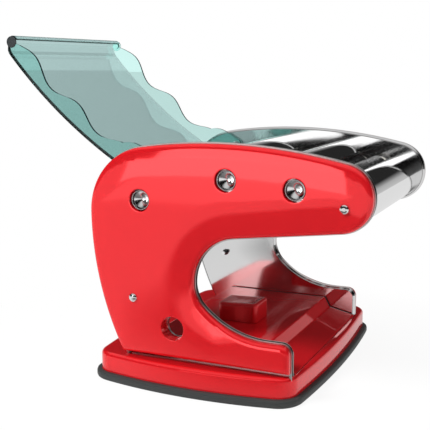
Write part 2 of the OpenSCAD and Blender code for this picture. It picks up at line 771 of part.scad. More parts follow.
// Combs that lift the dough out of the cutter grooves.
module comb(c, core, ring, width, pitch, count, a, b) {
  color("silver") union() {
    along(-half, half) translate(c) sector(ring + comb_gap, ring + comb_gap + comb_back, a, b);
    for (k = [0 : count - 1]) let (y = (k - (count - 1) / 2) * pitch, w = pitch - width - 2 * clearance)
      along(y - w / 2, y + w / 2) translate(c) sector(core + clearance, ring + comb_gap + 0.6, a, b);
  }
}
module wide_rear_comb() {
  comb(wide_rear_axis, wide_core, wide_ring, wide_width, wide_pitch, wide_count - 1, 205, 245);
}
module wide_front_comb() {
  comb(wide_front_axis, wide_core, wide_ring, wide_width, wide_pitch, wide_count - 2, 295, 335);
}
module fine_rear_comb() {
  comb(fine_rear_axis, fine_core, fine_ring, fine_width, fine_pitch, fine_count - 1, 205, 245);
}
module fine_front_comb() {
  comb(fine_front_axis, fine_core, fine_ring, fine_width, fine_pitch, fine_count - 2, 295, 335);
}

// Blade that keeps the front smooth roller clean.
module scraper_front() {
  color("silver") along(-half, half) translate(smooth_front_axis) rotate(240) union() {
    translate([smooth_radius + clearance, -blade_thick / 2]) square([blade_long, blade_thick]);
    translate([smooth_radius + blade_long - 1, -3]) square([4, 6]);
  }
}

// Yoke that carries the rear smooth roller, with its own blade.
module gap_yoke() {
  y0 = half - 1.8;
  y1 = half - 0.3;
  reach = smooth_rear_axis[1] - bar_axis[1];
  color("silver") union() {
    for (s = [-1, 1]) {
      along(s > 0 ? y0 : -y1, s > 0 ? y1 : -y0) difference() {
        union() {
          translate(smooth_rear_axis) circle(8);
          translate(bar_axis) circle(6);
          translate(bar_axis - [6, 0]) square([12, reach]);
        }
        translate(smooth_rear_axis) circle(shaft_radius + fit);
      }
      tube(smooth_rear_axis, bush_radius, shaft_radius + fit, s > 0 ? y1 - 0.5 : -outer, s > 0 ? outer : -y1 + 0.5);
    }
    bar(bar_axis, bar_radius, -outer, gear_end);
    along(-roller_half, roller_half) translate(bar_axis) polygon([
      [-2, 0], [4.2, 18.6], [5.6, 18.1], [2, 0]
    ]);
  }
}

// Spiral cam on the knob's shaft. It pushes the yoke back as it turns.
cam_start = knob_axis[0] - bar_axis[0] - bar_radius - clearance;
module gap_cam() {
  color("silver") union() {
    along(gear_start, gear_end - 1) translate(knob_axis)
      polygon([for (t = [0 : 5 : 355]) (cam_start + gap_travel * min(t, 345 - (t > 345 ? (t - 345) * 34 : 0)) / 300
        ) * [cos(180 - t + 15), sin(180 - t + 15)]]);
    bar(knob_axis, shaft_radius, half + 0.2, face + 6);
  }
}
// Knob on the far cover.
module gap_knob() {
  color("dimgray") difference() {
    union() {
      bar(knob_axis, knob_radius, face + clearance, face + knob_high);
      for (k = [0 : 11]) bar(knob_axis + knob_radius * [cos(30 * k), sin(30 * k)], 1.6, face + 2, face + knob_high - 1);
    }
    bar(knob_axis, shaft_radius + fit, face - 1, face + 6);
    bar(knob_axis + [0, knob_radius - 4], 1.5, face + knob_high - 1, face + knob_high + 1);
  }
}

// Feed tray: bent floor, waved walls, curled lip and hinge eyes.
tray_mid = (tray_top + tray_end) / 2;
tray_span = norm(tray_end - tray_top);
tray_dir = (tray_end - tray_top) / tray_span;
tray_c = tray_mid + sqrt(pow(tray_radius, 2) - pow(tray_span / 2, 2)) * [-tray_dir[1], tray_dir[0]];
tray_a = heading(tray_c, tray_top);
tray_b = heading(tray_c, tray_end);
bend_c = tray_c + (tray_radius - bend_radius) * [cos(tray_a), sin(tray_a)];
function crest(t) = wall_height
  + wave_height * cos(360 * ((t - tray_a) * PI / 180 * tray_radius - wave_start) / wave_length);
function sheet(i, j) = concat(
  arc(lip_middle, lip_radius - j, lip_stop, lip_start, 24),
  arc(bend_c, bend_radius - i, tray_a - bend_turn, tray_a, 6),
  tail(arc(tray_c, tray_radius - i, tray_a, tray_b, 24))
);
module tray_wall() {
  n = 60;
  stop = tray_b - 1.2;
  difference() {
    polygon(concat(
      [for (k = [0 : n]) let (t = tray_a + (stop - tray_a) * k / n) tray_c + (tray_radius - crest(t)) * [cos(t), sin(t)]],
      arc(tray_c, tray_radius, tray_b, tray_a, 12),
      arc(bend_c, bend_radius, tray_a - 4, tray_a - bend_turn, 5),
      arc(lip_middle, lip_radius, lip_start, lip_stop, 12)
    ));
    translate(lip_middle) circle(lip_radius - lip_thick);
  }
  polygon(concat(
    arc(cheek, cheek_radius, 128, 62, 14),
    arc(eye, eye_radius, 60, -80, 10),
    [tray_end + [2, 0.5], tray_end, tray_c + (tray_radius - 1) * [cos(tray_b - 2.6), sin(tray_b - 2.6)]]
  ));
}
module tray() {
  color("lightseagreen", 0.5) difference() {
    union() {
      along(-tray_half, tray_half)
        polygon(concat(sheet(0, 0), flip(sheet(tray_thick, lip_thick))));
      for (s = [-1, 1]) along(s > 0 ? tray_half - tray_thick : -tray_half, s > 0 ? tray_half : -tray_half + tray_thick)
        tray_wall();
    }
    bar(eye, pin_radius + fit, -half, half);
  }
}
// Dark plugs in the ends of the curled lip.
module tray_caps() {
  color("dimgray") for (s = [-1, 1]) union() {
    bar(lip_middle, lip_radius + 0.2, s > 0 ? tray_half : -tray_half - 1, s > 0 ? tray_half + 1 : -tray_half);
    bar(lip_middle, lip_radius - lip_thick - fit, s > 0 ? tray_half - 5 : -tray_half - 0.5,
      s > 0 ? tray_half + 0.5 : -tray_half + 5);
  }
}
// Hinge pins of the tray, riveted into the plates.
module tray_pins() {
  head = tray_gap + tray_thick + clearance;
  collar = tray_gap - clearance;
  color("silver") for (s = [-1, 1]) translate([eye[0], s * half, eye[1]]) rotate([-s * 90, 0, 0]) rotate_extrude()
    polygon([
      [0, -head - 0.9], [2.8, -head - 0.9], [3, -head - 0.1], [pin_radius, -head], [pin_radius, -collar],
      [2.6, -collar], [2.6, 0], [rivet_hole - fit, 0], [rivet_hole - fit, plate_thick], [0, plate_thick]
    ]);
}

base();
skirt();
suction_pad();
stem();
grip();
plate_near();
plate_far();
cover_near();
cover_far();
socket_tubes();
cover_screws();
screw_nuts();
tie_rods();
rod_screws();
hood_rear();
hood_middle();
hood_front();
smooth_front();
smooth_rear();
wide_rear();
wide_front();
fine_rear();
fine_front();
smooth_front_gear();
smooth_rear_gear();
wide_rear_gear();
wide_front_gear();
fine_rear_gear();
fine_front_gear();
smooth_dog();
wide_dog();
fine_dog();
bushes_near();
bushes_far();
wide_rear_comb();
wide_front_comb();
fine_rear_comb();
fine_front_comb();
scraper_front();
gap_yoke();
gap_cam();
gap_knob();
tray();
tray_caps();
tray_pins();
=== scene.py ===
# %% [markdown]
# # A hand pasta machine
# The machine stands on a red base with a rubber skirt. Two steel plates with red
# moulded covers carry the rollers, a bright hood lies over them, and a clear tray
# feeds the dough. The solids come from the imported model, and this lesson gives the
# machine its surfaces: softer edges, polished metal, glossy and clear plastic.

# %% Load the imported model
import json
import math
import bpy
import bmesh
from mathutils import Matrix, Vector
from mathutils.geometry import delaunay_2d_cdt, tessellate_polygon


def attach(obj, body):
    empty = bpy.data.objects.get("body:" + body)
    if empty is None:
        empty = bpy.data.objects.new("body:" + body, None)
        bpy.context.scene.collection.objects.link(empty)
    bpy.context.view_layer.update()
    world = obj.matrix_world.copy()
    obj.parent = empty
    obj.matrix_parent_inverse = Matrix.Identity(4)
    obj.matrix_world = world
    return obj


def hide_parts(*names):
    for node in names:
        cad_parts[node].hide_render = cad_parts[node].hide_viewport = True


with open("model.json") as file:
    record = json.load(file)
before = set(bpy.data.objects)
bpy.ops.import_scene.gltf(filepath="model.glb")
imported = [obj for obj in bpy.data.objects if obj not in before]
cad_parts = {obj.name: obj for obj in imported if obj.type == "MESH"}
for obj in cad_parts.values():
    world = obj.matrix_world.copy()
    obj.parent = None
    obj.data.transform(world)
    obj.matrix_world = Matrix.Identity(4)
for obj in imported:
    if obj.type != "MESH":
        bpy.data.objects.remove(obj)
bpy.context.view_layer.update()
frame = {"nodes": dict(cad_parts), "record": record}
node = frame["nodes"]

# %% [markdown]
# ## The camera first
# The photograph looks down the long side from the open end, a little from above.
# The lens and the place were solved from the outlines, so they are written as numbers.
# The camera's own axes are built from its turn and its tilt.

# %% Set the camera
MM = 0.001
turn, tilt = math.radians(24.123), math.radians(9.897)
lens = bpy.data.cameras.new("photo lens")
lens.lens, lens.sensor_width, lens.sensor_fit = 71.58, 36.0, "HORIZONTAL"
lens.clip_start, lens.clip_end = 0.01, 50
camera = bpy.data.objects.new("photo camera", lens)
bpy.context.scene.collection.objects.link(camera)
camera.location = (0.26498, -0.64242, 0.24171)
camera.rotation_euler = (math.radians(90) - tilt, 0, turn)
bpy.context.scene.camera = camera
view = camera.rotation_euler.to_matrix() @ Vector((0, 0, -1))
print("camera looks along", tuple(round(v, 3) for v in view))

# %% [markdown]
# ## A studio for red plastic and chrome
# Glossy things show the room around them, so the room matters more than the lamps.
# The world is white where the camera looks past the machine or through clear plastic.
# Gloss sees another room: pale up to the horizon, black from about 12 to 34 degrees
# above it, pale again overhead, and dimmer low down on the near side. This draws the
# black and white bands that chrome is known for. Matt surfaces get a third room, soft
# and brighter towards the sky.

# %% Paint the room
def set_range(span, limits):
    for socket, value in zip(("From Min", "From Max", "To Min", "To Max"), limits):
        span.inputs[socket].default_value = value


world = bpy.data.worlds.new("studio room")
bpy.context.scene.world = world
world.use_nodes = True
tree = world.node_tree
tree.nodes.clear()
out = tree.nodes.new("ShaderNodeOutputWorld")
ray = tree.nodes.new("ShaderNodeLightPath")
place = tree.nodes.new("ShaderNodeTexCoord")
split = tree.nodes.new("ShaderNodeSeparateXYZ")
tree.links.new(place.outputs["Generated"], split.inputs[0])
height = tree.nodes.new("ShaderNodeMapRange")
height.inputs["From Min"].default_value, height.inputs["From Max"].default_value = -1, 1
tree.links.new(split.outputs["Z"], height.inputs["Value"])
bands = tree.nodes.new("ShaderNodeValToRGB")
bands.color_ramp.interpolation = "LINEAR"
stops = [(0.0, 0.6), (0.5, 0.55), (0.55, 0.45), (0.60, 0.02), (0.78, 0.02), (0.86, 0.6), (1.0, 0.7)]
while len(bands.color_ramp.elements) < len(stops):
    bands.color_ramp.elements.new(0.5)
for mark, (at, tone) in zip(bands.color_ramp.elements, stops):
    mark.position = at
    mark.color = (tone, tone, tone, 1)
tree.links.new(height.outputs["Result"], bands.inputs["Fac"])
mirror_room = tree.nodes.new("ShaderNodeBackground")
tree.links.new(bands.outputs["Color"], mirror_room.inputs["Color"])
behind = tree.nodes.new("ShaderNodeMapRange")
set_range(behind, (-0.2, 0.2, 0.15, 1.0))
tree.links.new(split.outputs["Y"], behind.inputs["Value"])
overhead = tree.nodes.new("ShaderNodeMath")
overhead.operation, overhead.inputs[1].default_value = "GREATER_THAN", 0.5
tree.links.new(split.outputs["Z"], overhead.inputs[0])
side_tone = tree.nodes.new("ShaderNodeMath")
side_tone.operation = "MAXIMUM"
tree.links.new(behind.outputs["Result"], side_tone.inputs[0])
tree.links.new(overhead.outputs[0], side_tone.inputs[1])
tree.links.new(side_tone.outputs[0], mirror_room.inputs["Strength"])
soft_room = tree.nodes.new("ShaderNodeBackground")
soft_room.inputs["Color"].default_value = (1, 1, 1, 1)
sky = tree.nodes.new("ShaderNodeMapRange")
set_range(sky, (0.4, 1.0, 0.14, 0.5))
tree.links.new(height.outputs["Result"], sky.inputs["Value"])
tree.links.new(sky.outputs["Result"], soft_room.inputs["Strength"])
white_room = tree.nodes.new("ShaderNodeBackground")
white_room.inputs["Color"].default_value = (1, 1, 1, 1)
glossy_mix = tree.nodes.new("ShaderNodeMixShader")
tree.links.new(ray.outputs["Is Glossy Ray"], glossy_mix.inputs["Fac"])
tree.links.new(soft_room.outputs[0], glossy_mix.inputs[1])
tree.links.new(mirror_room.outputs[0], glossy_mix.inputs[2])
seen = tree.nodes.new("ShaderNodeMath")
seen.operation = "MAXIMUM"
tree.links.new(ray.outputs["Is Camera Ray"], seen.inputs[0])
tree.links.new(ray.outputs["Is Transmission Ray"], seen.inputs[1])
white_mix = tree.nodes.new("ShaderNodeMixShader")
tree.links.new(seen.outputs[0], white_mix.inputs["Fac"])
tree.links.new(glossy_mix.outputs[0], white_mix.inputs[1])
tree.links.new(white_room.outputs[0], white_mix.inputs[2])
tree.links.new(white_mix.outputs[0], out.inputs["Surface"])
bpy.context.scene.view_settings.view_transform = "Standard"
print("room bands:", len(stops))

# %% [markdown]
# Two soft lamps model the forms. The strong one stands high on the left of the camera
# and the weaker one fills the open end. Four flat sheets of light are there for gloss
# to mirror, and neither the camera nor matt surfaces see them. Each is given by a
# corner, its two sides and how bright it looks.

# %% Place the lamps
def soft_lamp(name, spot, target, size, power):
    data = bpy.data.lights.new(name, "AREA")
    data.shape, data.size, data.energy = "DISK", size, power
    lamp = bpy.data.objects.new(name, data)
    bpy.context.scene.collection.objects.link(lamp)
    lamp.location = spot
    aim = Vector(target) - Vector(spot)
    lamp.rotation_euler = aim.to_track_quat("-Z", "Y").to_euler()
    lamp.visible_camera = lamp.visible_glossy = False
    return lamp


def light_sheet(name, corner, along_it, across_it, tone):
    wide, tall = Vector(along_it), Vector(across_it)
    data = bpy.data.lights.new(name, "AREA")
    data.shape, data.size, data.size_y = "RECTANGLE", wide.length, tall.length
    data.energy = tone * math.pi * wide.length * tall.length
    lamp = bpy.data.objects.new(name, data)
    bpy.context.scene.collection.objects.link(lamp)
    lamp.location = Vector(corner) + (wide + tall) / 2
    x, y = wide.normalized(), tall.normalized()
    lamp.rotation_euler = Matrix((x, y, x.cross(y))).transposed().to_euler()
    lamp.visible_camera = lamp.visible_diffuse = False
    return lamp


key = soft_lamp("high left lamp", (-0.8, -1.2, 1.5), (0, 0, 0.1), 0.7, 44)
fill = soft_lamp("open end lamp", (1.4, 0.1, 0.8), (0, 0, 0.1), 0.8, 7)
cover_sheets = [
    light_sheet("sheet on the floor", (-0.70, -0.90, 0.001), (0.60, 0.03, 0), (0, -0.45, 0), 0.5),
    light_sheet("low sheet", (-0.82, -1.31, 0), (0.66, 0, 0), (0, 0, 0.165), 1.7),
    light_sheet("high sheet", (-0.70, -1.31, 0.165), (0.54, 0, 0), (0, 0, 0.40), 2.5),
]
hood_panel = light_sheet("panel for the hood", (-0.70, -1.45, 0.29), (0.75, 0.15, 0), (0, 0, 0.26), 1.5)
print("lamps:", key.data.energy, fill.data.energy, "watt")

# %% [markdown]
# ## Finishes
# Every finish is a small set of nodes. Moulded plastic has a faint ripple, rolled
# steel has a fine grain, rubber has a dull speckle. Each helper names the finish and
# sets its plain numbers on the shader itself.

# %% Helpers for finishes
def finish(name, color, rough, metal=0.0, coat=0.0, **more):
    mat = bpy.data.materials.new(name)
    mat.use_nodes = True
    shader = mat.node_tree.nodes["Principled BSDF"]
    shader.inputs["Base Color"].default_value = (*color, 1)
    shader.inputs["Roughness"].default_value = rough
    shader.inputs["Metallic"].default_value = metal
    shader.inputs["Coat Weight"].default_value = coat
    shader.inputs["Coat Roughness"].default_value = 0.03
    for key_name, value in more.items():
        shader.inputs[key_name.replace("_", " ")].default_value = value
    return mat


def spot_noise(mat, scale, detail=2.0, stretch=(1, 1, 1)):
    nodes, links = mat.node_tree.nodes, mat.node_tree.links
    where = nodes.new("ShaderNodeTexCoord")
    squeeze = nodes.new("ShaderNodeMapping")
    squeeze.inputs["Scale"].default_value = stretch
    noise = nodes.new("ShaderNodeTexNoise")
    noise.inputs["Scale"].default_value = scale
    noise.inputs["Detail"].default_value = detail
    links.new(where.outputs["Object"], squeeze.inputs["Vector"])
    links.new(squeeze.outputs["Vector"], noise.inputs["Vector"])
    return noise


def ripple(mat, noise, strength, distance):
    bump = mat.node_tree.nodes.new("ShaderNodeBump")
    bump.inputs["Strength"].default_value = strength
    bump.inputs["Distance"].default_value = distance
    mat.node_tree.links.new(noise.outputs["Fac"], bump.inputs["Height"])
    mat.node_tree.links.new(bump.outputs["Normal"], mat.node_tree.nodes["Principled BSDF"].inputs["Normal"])


def vary(mat, noise, socket, low, high):
    span = mat.node_tree.nodes.new("ShaderNodeMapRange")
    span.inputs["To Min"].default_value = low
    span.inputs["To Max"].default_value = high
    mat.node_tree.links.new(noise.outputs["Fac"], span.inputs["Value"])
    mat.node_tree.links.new(span.outputs["Result"], mat.node_tree.nodes["Principled BSDF"].inputs[socket])


# %% [markdown]
# The red is a deep gloss plastic. Its skin is almost even, with a slow ripple from
# the mould and a roughness that wanders a little. The grip has a satin skin.

# %% Red plastic
red = finish("red gloss plastic", (0.74, 0.012, 0.018), 0.06, metal=0.35, coat=0.3)
slow = spot_noise(red, 9)
ripple(red, slow, 0.02, 0.001)
vary(red, slow, "Roughness", 0.05, 0.09)
red_satin = finish("satin red grip", (0.62, 0.010, 0.015), 0.22, metal=0.3)
vary(red_satin, spot_noise(red_satin, 60), "Roughness", 0.18, 0.28)
red_tone = red.node_tree.nodes["Principled BSDF"].inputs["Base Color"].default_value
print("red:", tuple(round(v, 3) for v in red_tone))

# %% [markdown]
# The plates are polished steel that mirrors softly, and the hood is brighter and
# sharper. A fine grain is stretched along the way the sheets were rolled.

# %% Metals
plate_steel = finish("polished plate steel", (0.80, 0.80, 0.80), 0.08, metal=1.0)
grain = spot_noise(plate_steel, 60, 3, (1, 1, 12))
vary(plate_steel, grain, "Roughness", 0.05, 0.1)
# the satin rim is real steel; its faint pink tint is a painted reflection of the red covers
edge_steel = finish("satin rim", (0.72, 0.68, 0.67), 0.3, metal=1.0)
vary(edge_steel, spot_noise(edge_steel, 300, 2), "Roughness", 0.25, 0.35)
# painted shade: the inside bend of each plate is painted nearly black to draw the dark line along it
painted_shade_bend = finish("bend painted dark as shade", (0.05, 0.048, 0.048), 0.2, metal=1.0)
vary(painted_shade_bend, spot_noise(painted_shade_bend, 300, 2), "Roughness", 0.15, 0.25)
chrome = finish("chromed sheet", (0.88, 0.88, 0.88), 0.05, metal=1.0)
vary(chrome, spot_noise(chrome, 40, 2, (1, 8, 1)), "Roughness", 0.03, 0.08)
worked_steel = finish("turned steel", (0.62, 0.62, 0.62), 0.25, metal=1.0)
vary(worked_steel, spot_noise(worked_steel, 120, 2, (6, 1, 6)), "Roughness", 0.18, 0.32)
cup_steel = finish("bright turned cup", (0.9, 0.9, 0.9), 0.14, metal=1.0)
vary(cup_steel, spot_noise(cup_steel, 200, 2), "Roughness", 0.1, 0.18)
plain_steel = finish("plain steel", (0.5, 0.5, 0.5), 0.35, metal=1.0)
vary(plain_steel, spot_noise(plain_steel, 80, 3), "Roughness", 0.28, 0.42)
print("metals made")

# %% [markdown]
# Rubber, nylon and the dark plastic of knob and caps are dull and need only a light
# speckle. The black of the seams is painted shade: it fills the shadow gap between a plate and its cover.

# %% Dull finishes
rubber = finish("dark rubber", (0.035, 0.038, 0.038), 0.55)
ripple(rubber, spot_noise(rubber, 400, 3), 0.15, 0.0004)
nylon = finish("pale nylon", (0.75, 0.73, 0.67), 0.45)
ripple(nylon, spot_noise(nylon, 200, 2), 0.05, 0.0004)
dark_plastic = finish("dark plastic", (0.03, 0.034, 0.036), 0.3)
ripple(dark_plastic, spot_noise(dark_plastic, 260, 2), 0.06, 0.0004)
# painted shade: black that stands in for the shadow in the gaps around the plates
gap_shade_black = finish("black painted gap shade", (0.006, 0.006, 0.006), 0.6)
ripple(gap_shade_black, spot_noise(gap_shade_black, 300, 2), 0.1, 0.0004)
print("dull finishes made")

# %% [markdown]
# The tray is clear tinted plastic in three finishes: one for the walls, a greyer one
# for the floor sheet, and one that is nearly black for the cut edges of the walls, as painted shade.

# %% Clear plastic
clear_teal = finish("clear teal plastic", (0.66, 0.95, 0.91), 0.03, Transmission_Weight=1.0, IOR=1.35)
vary(clear_teal, spot_noise(clear_teal, 20), "Roughness", 0.0, 0.03)
floor_teal = finish("clear tray floor", (0.43, 0.6, 0.59), 0.02, Transmission_Weight=1.0, IOR=1.35)
vary(floor_teal, spot_noise(floor_teal, 20), "Roughness", 0.0, 0.03)
# painted shade: the cut edges are nearly black to stand in for the dark lines that clear plastic shows at its
# edges
edge_shade_teal = finish("cut edge painted dark", (0.01, 0.03, 0.032), 0.12, coat=0.3)
vary(edge_shade_teal, spot_noise(edge_shade_teal, 90), "Roughness", 0.08, 0.2)
print("clear plastic made")

# %% Dress the nodes that keep their solids
finishes = {
    "red_plastic": red, "dark_rubber": rubber, "steel_plate": plate_steel, "bright_sheet": chrome,
    "cutter_steel": worked_steel, "plain_steel": plain_steel, "pale_nylon": nylon,
    "dark_plastic": dark_plastic, "clear_teal": clear_teal,
}
slot_of = {s["node"]: s["material_slot"] for s in frame["record"]["subparts"]}
for name, obj in node.items():
    obj.data.materials.clear()
    obj.data.materials.append(finishes[slot_of[name]])
print("dressed:", len(node))

# %% [markdown]
# ## Outlines
# The side of the machine is a chain of arcs that touch each other. The same chain,
# moved inwards, gives the covers, their rounded edges and the black seam. Points are
# kept in millimetres here and scaled when a mesh is made.

# %% The chain of arcs of the side
def arc(c, r, a, b, n):
    steps = [math.radians(a + (b - a) * k / n) for k in range(n + 1)]
    return [(c[0] + r * math.cos(t), c[1] + r * math.sin(t)) for t in steps]


def circle(c, r, n=48):
    return arc(c, r, 0, 360, n)[:-1]


def heading(p, q):
    return math.degrees(math.atan2(q[1] - p[1], q[0] - p[0])) % 360


def crossing(c, r, d, s):
    gap = math.dist(c, d)
    a = (r * r - s * s + gap * gap) / (2 * gap)
    h = math.sqrt(r * r - a * a)
    e = ((d[0] - c[0]) / gap, (d[1] - c[1]) / gap)
    return (c[0] + a * e[0] + h * e[1], c[1] + a * e[1] - h * e[0])


REAR_X, REAR_Z, REAR_R, SHOULDER_R, TOP_R = -86.6, 132.7, 236.0, 51.3, 424.0
NOSE, NOSE_R = (108.8, 153.4), 24.8
MOUTH_X, MOUTH_Z, MOUTH_TOP_R, MOUTH_LOW_R = 0.6, 83.6, 35.6, 24.3
SLOPE_R, FOOT_TOP, FOOT_FRONT, FOOT_R = 70.0, 46.0, 76.8, 8.4
rear_c, shoulder_c = (REAR_X + REAR_R, REAR_Z), (REAR_X + SHOULDER_R, REAR_Z)
top_c = crossing(shoulder_c, TOP_R - SHOULDER_R, NOSE, TOP_R - NOSE_R)
mouth_top_c, mouth_low_c = (MOUTH_X + MOUTH_TOP_R, MOUTH_Z), (MOUTH_X + MOUTH_LOW_R, MOUTH_Z)
slope_up = FOOT_TOP + SLOPE_R
slope_c = (mouth_low_c[0] + math.sqrt((SLOPE_R - MOUTH_LOW_R) ** 2 - (slope_up - MOUTH_Z) ** 2), slope_up)
arm = (NOSE[0] - mouth_top_c[0], NOSE[1] - mouth_top_c[1])
arm_fan = math.degrees(math.acos((MOUTH_TOP_R + NOSE_R) / math.hypot(*arm)))
arm_tilt = arm_fan - math.degrees(math.atan2(*arm))


def side_outline(i, bottom, fine=3):
    low = 180 + math.degrees(math.asin((REAR_Z - bottom) / (REAR_R - i)))
    top_a, top_b = heading(top_c, shoulder_c), heading(top_c, NOSE)
    back = heading(slope_c, mouth_low_c)
    ring = arc(rear_c, REAR_R - i, low, 180, 10 * fine)
    ring += arc(shoulder_c, SHOULDER_R - i, 178, top_a, 14 * fine)
    ring += arc(top_c, TOP_R - i, top_a - 0.5, top_b, 14 * fine)
    ring += arc(NOSE, NOSE_R - i, top_b - 2, arm_tilt - 90, 22 * fine)
    ring += straight(ring[-1], arc(mouth_top_c, MOUTH_TOP_R + i, 90 + arm_tilt, 180, 1)[0], 6 * fine)
    ring += arc(mouth_top_c, MOUTH_TOP_R + i, 90 + arm_tilt, 180, 14 * fine)
    ring += arc(mouth_low_c, MOUTH_LOW_R + i, 182, back, 8 * fine)
    ring += arc(slope_c, SLOPE_R + i, back + 2, 270, 12 * fine)
    r = max(FOOT_R - i, 0.4)
    ring += arc((FOOT_FRONT - i - r, FOOT_TOP - i - r), r, 90, 0, 8 * fine)
    top = FOOT_TOP - i - r
    return ring + [(FOOT_FRONT - i, bottom + (top - bottom) * (1 - k / 4)) for k in range(1, 5)]


def straight(p, q, n):
    return [(p[0] + (q[0] - p[0]) * k / n, p[1] + (q[1] - p[1]) * k / n) for k in range(1, n)]


print("arm slopes by", round(arm_tilt, 2), "degrees; outline points:", len(side_outline(0, 12)))

# %% [markdown]
# ## Meshes from rings
# A rounded moulding is a stack of rings with the same number of points. Neighbouring
# rings are joined by four-sided faces, and a flat cap closes an end and leaves its
# holes open. The number of open edges is printed, so that a gap in a mesh shows.

# %% Helpers for meshes
class Shape:
    def __init__(self):
        self.points, self.faces, self.kinds = [], [], []

    def ring(self, pts):
        start = len(self.points)
        self.points += pts
        return list(range(start, start + len(pts)))

    def band(self, a, b, kind=0):
        for k in range(len(a)):
            j = (k + 1) % len(a)
            self.faces.append((a[k], a[j], b[j], b[k]))
            self.kinds.append(kind)

    def cap(self, loops, kind=0):
        flat = [i for loop in loops for i in loop]
        for tri in tessellate_polygon([[Vector(self.points[i]) for i in loop] for loop in loops]):
            self.faces.append(tuple(flat[i] for i in tri))
            self.kinds.append(kind)

    def make(self, name, mats, body, slot, sharp=32):
        mesh = bpy.data.meshes.new(name)
        mesh.from_pydata([tuple(v * MM for v in p) for p in self.points], [], self.faces)
        for mat in mats:
            mesh.materials.append(mat)
        for face, kind in zip(mesh.polygons, self.kinds):
            face.material_index = kind
        work = bmesh.new()
        work.from_mesh(mesh)
        bmesh.ops.remove_doubles(work, verts=work.verts, dist=1e-7)
        bmesh.ops.recalc_face_normals(work, faces=work.faces)
        open_edges = sum(1 for e in work.edges if not e.is_manifold)
        work.to_mesh(mesh)
        work.free()
        mesh.shade_smooth()
        mesh.set_sharp_from_angle(angle=math.radians(sharp))
        piece = bpy.data.objects.new(name, mesh)
        bpy.context.scene.collection.objects.link(piece)
        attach(piece, body)
        print(name, "faces:", len(mesh.polygons), "open edges:", open_edges)
        return piece


def upright(ring, y):
    return [(p[0], y, p[1]) for p in ring]


def level(ring, z):
    return [(p[0], p[1], z) for p in ring]


# %% [markdown]
# ## Red side covers
# Each cover is a hollow moulding, ten millimetres deep, with a generous rounding all
# along its outer edge. The near one has three crank sockets and a round hole low down.
# Its face is slightly domed: it sinks towards the rim, and more towards the mouth,
# which bends the highlights there. A net of triangles fills the face around the holes.

# %% Make a cover
HALF, OUTER, RIM, FACE = 82.5, 84.5, 87.5, 94.5
SOCKETS = [(-42.0, 143.5), (27.3, 161.8), (78.6, 157.8)]
SCREWS = [(114.1, 147.4), (-48.5, 68.6)]
LOW_HOLE, KNOB = (-15.6, 48.0), (-53.6, 114.0)
SOCKET_R, LOW_HOLE_R, SCREW_R, KNOB_R = 8.25, 9.2, 1.7, 4.05
RIM_REACH, RIM_FALL = 18, 0.7
MOUTH_REACH, MOUTH_EASE, MOUTH_SLOPE = 22, 10, 0.11
MOUTH_POINTS = slice(184, 280)
COVER_FOOT, WALL_DEPTH = 24.6, 5


def rounding(wide, deep, n=9):
    turns = [math.pi / 2 * k / n for k in range(n + 1)]
    return [(wide * (1 - math.cos(t)), deep * (1 - math.sin(t))) for t in turns]


def edge_distance(line, p, closed=True):
    best = 1e9
    for (ax, az), (bx, bz) in zip(line, line[1:] + line[:1] if closed else line[1:]):
        dx, dz = bx - ax, bz - az
        t = min(max(((p[0] - ax) * dx + (p[1] - az) * dz) / (dx * dx + dz * dz + 1e-12), 0), 1)
        best = min(best, math.hypot(p[0] - ax - t * dx, p[1] - az - t * dz))
    return best


def crown(line, p):
    rim_part = max(1 - edge_distance(line, p) / RIM_REACH, 0) ** 2
    near = max(MOUTH_REACH - edge_distance(line[MOUTH_POINTS], p, False), 0)
    mouth_part = near ** 2 / (2 * MOUTH_EASE) if near < MOUTH_EASE else near - MOUTH_EASE / 2
    return RIM_FALL * rim_part + MOUTH_SLOPE * mouth_part


def domed_face(shape, side, line, loops, holes):
    flat = [i for loop in loops for i in loop]
    spots = [Vector((shape.points[i][0], shape.points[i][2])) for i in flat]
    edges, start = [], 0
    for loop in loops:
        edges += [(start + k, start + (k + 1) % len(loop)) for k in range(len(loop))]
        start += len(loop)
    grid = []
    for gx in range(-88, 134, 4):
        for gz in range(28, 182, 4):
            p = (gx + 2 * (gz // 4 % 2), gz)
            clear = all(math.dist(p, c) > r + 1.5 for c, r in holes)
            if clear and is_inside(line, p) and edge_distance(line, p) > 2:
                grid.append(p)
    for c, r in holes:
        grid += circle(c, r + 0.45, 40)
    spots += [Vector(p) for p in grid]
    points, _, tris, source, _, _ = delaunay_2d_cdt(spots, edges, [], 0, 1e-4)
    number = []
    for point, origin in zip(points, source):
        if origin and origin[0] < len(flat):
            number.append(flat[origin[0]])
            continue
        shape.points.append((point.x, side * (FACE - crown(line, point)), point.y))
        number.append(len(shape.points) - 1)
    loop_of = {i: k for k, loop in enumerate(loops) for i in loop}
    for tri in tris:
        middle = sum((points[i] for i in tri), Vector((0, 0))) / 3
        owners = {loop_of.get(number[i], -1) for i in tri}
        if is_inside(line, middle) and (len(owners) > 1 or owners <= {-1, 0}):
            shape.faces.append(tuple(number[i] for i in tri))
            shape.kinds.append(0)


def is_inside(line, p):
    hits = 0
    for (ax, az), (bx, bz) in zip(line, line[1:] + line[:1]):
        hits += (az > p[1]) != (bz > p[1]) and p[0] < ax + (bx - ax) * (p[1] - az) / (bz - az)
    return hits % 2 == 1


